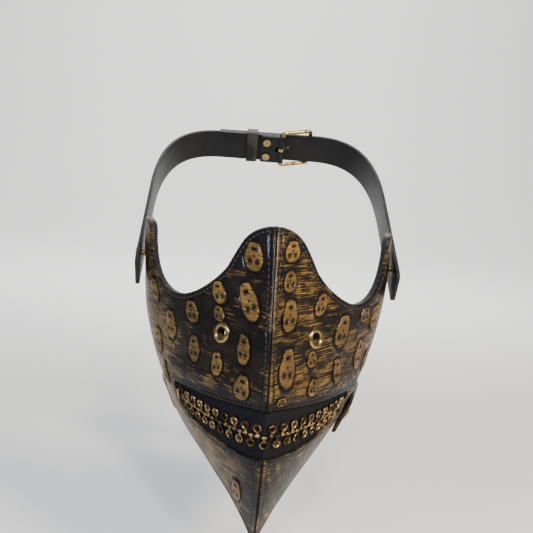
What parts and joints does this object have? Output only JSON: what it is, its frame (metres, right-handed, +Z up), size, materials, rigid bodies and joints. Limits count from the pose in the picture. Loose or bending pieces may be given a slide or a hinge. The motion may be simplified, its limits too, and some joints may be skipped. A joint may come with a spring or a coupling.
{
  "type": "leather half mask",
  "caption": "Half-face leather costume mask with a centre ridge, vent eyelets, closed skull-tooth zip mouth, buckled head strap, riveted neck strap and a wire strap ring.",
  "frame": {"origin": "midway between the wearer's eyes, on the mask's mid-plane", "axes": "+X to the viewer's right as the mask is seen from the front, -Y out of the nose, +Z up"},
  "size_m": [0.1654, 0.2413, 0.229],
  "materials": {
    "embossed_leather": "satin",
    "lining": "matte",
    "zip_tape": "matte",
    "zip_metal": "satin",
    "eyelet_brass": "satin",
    "rivet_brass": "satin",
    "strap_leather": "satin",
    "black_leather": "satin",
    "buckle_brass": "satin",
    "hook_tape": "matte",
    "loop_tape": "matte",
    "ring_wire": "satin"
  },
  "bodies": {
    "mask": {"leather_left": "embossed_leather", "leather_right": "embossed_leather", "lining_left": "lining", "lining_right": "lining", "zip_tape_upper": "zip_tape", "zip_tape_lower": "zip_tape", "zip_teeth_upper": "zip_metal", "zip_teeth_lower": "zip_metal", "zip_stop_left": "zip_metal", "zip_stop_right": "zip_metal", "eyelet_left": "eyelet_brass", "eyelet_right": "eyelet_brass", "eyelet_washer_left": "eyelet_brass", "eyelet_washer_right": "eyelet_brass", "rivet_left": "rivet_brass", "rivet_right": "rivet_brass", "rivet_back_left": "rivet_brass", "rivet_back_right": "rivet_brass", "rivet_neck": "rivet_brass", "rivet_back_neck": "rivet_brass", "ring_tab": "black_leather"},
    "harness": {"upper_strap_left": "strap_leather", "upper_strap_right": "strap_leather", "buckle_frame": "buckle_brass", "strap_keeper": "black_leather", "buckle_rivets": "rivet_brass"},
    "prong": {"buckle_prong": "buckle_brass"},
    "neck_strap": {"neck_strap": "strap_leather", "hook_patch": "hook_tape", "loop_patch": "loop_tape"},
    "ring": {"strap_ring": "ring_wire"}
  },
  "joints": [
    {"name": "harness_swing", "type": "hinge", "parent": "mask", "child": "harness", "pos_m": [0, 0.062, -0.017], "axis": [1, 0, 0], "range_deg": [-35, 60]},
    {"name": "neck_strap_swivel", "type": "hinge", "parent": "mask", "child": "neck_strap", "pos_m": [0.05361, 0.046, -0.107], "axis": [0.8866, -0.2328, -0.3997], "range_deg": [-15, 25]},
    {"name": "ring_swing", "type": "hinge", "parent": "mask", "child": "ring", "pos_m": [-0.05172, 0.06648, -0.10625], "axis": [0.4168, -0.2255, -0.8806], "range_deg": [-40, 55]},
    {"name": "prong_lift", "type": "hinge", "parent": "harness", "child": "prong", "pos_m": [0.01, 0.18335, 0.04752], "axis": [0, -0.4695, 0.8829], "range_deg": [0, 8]}
  ]
}
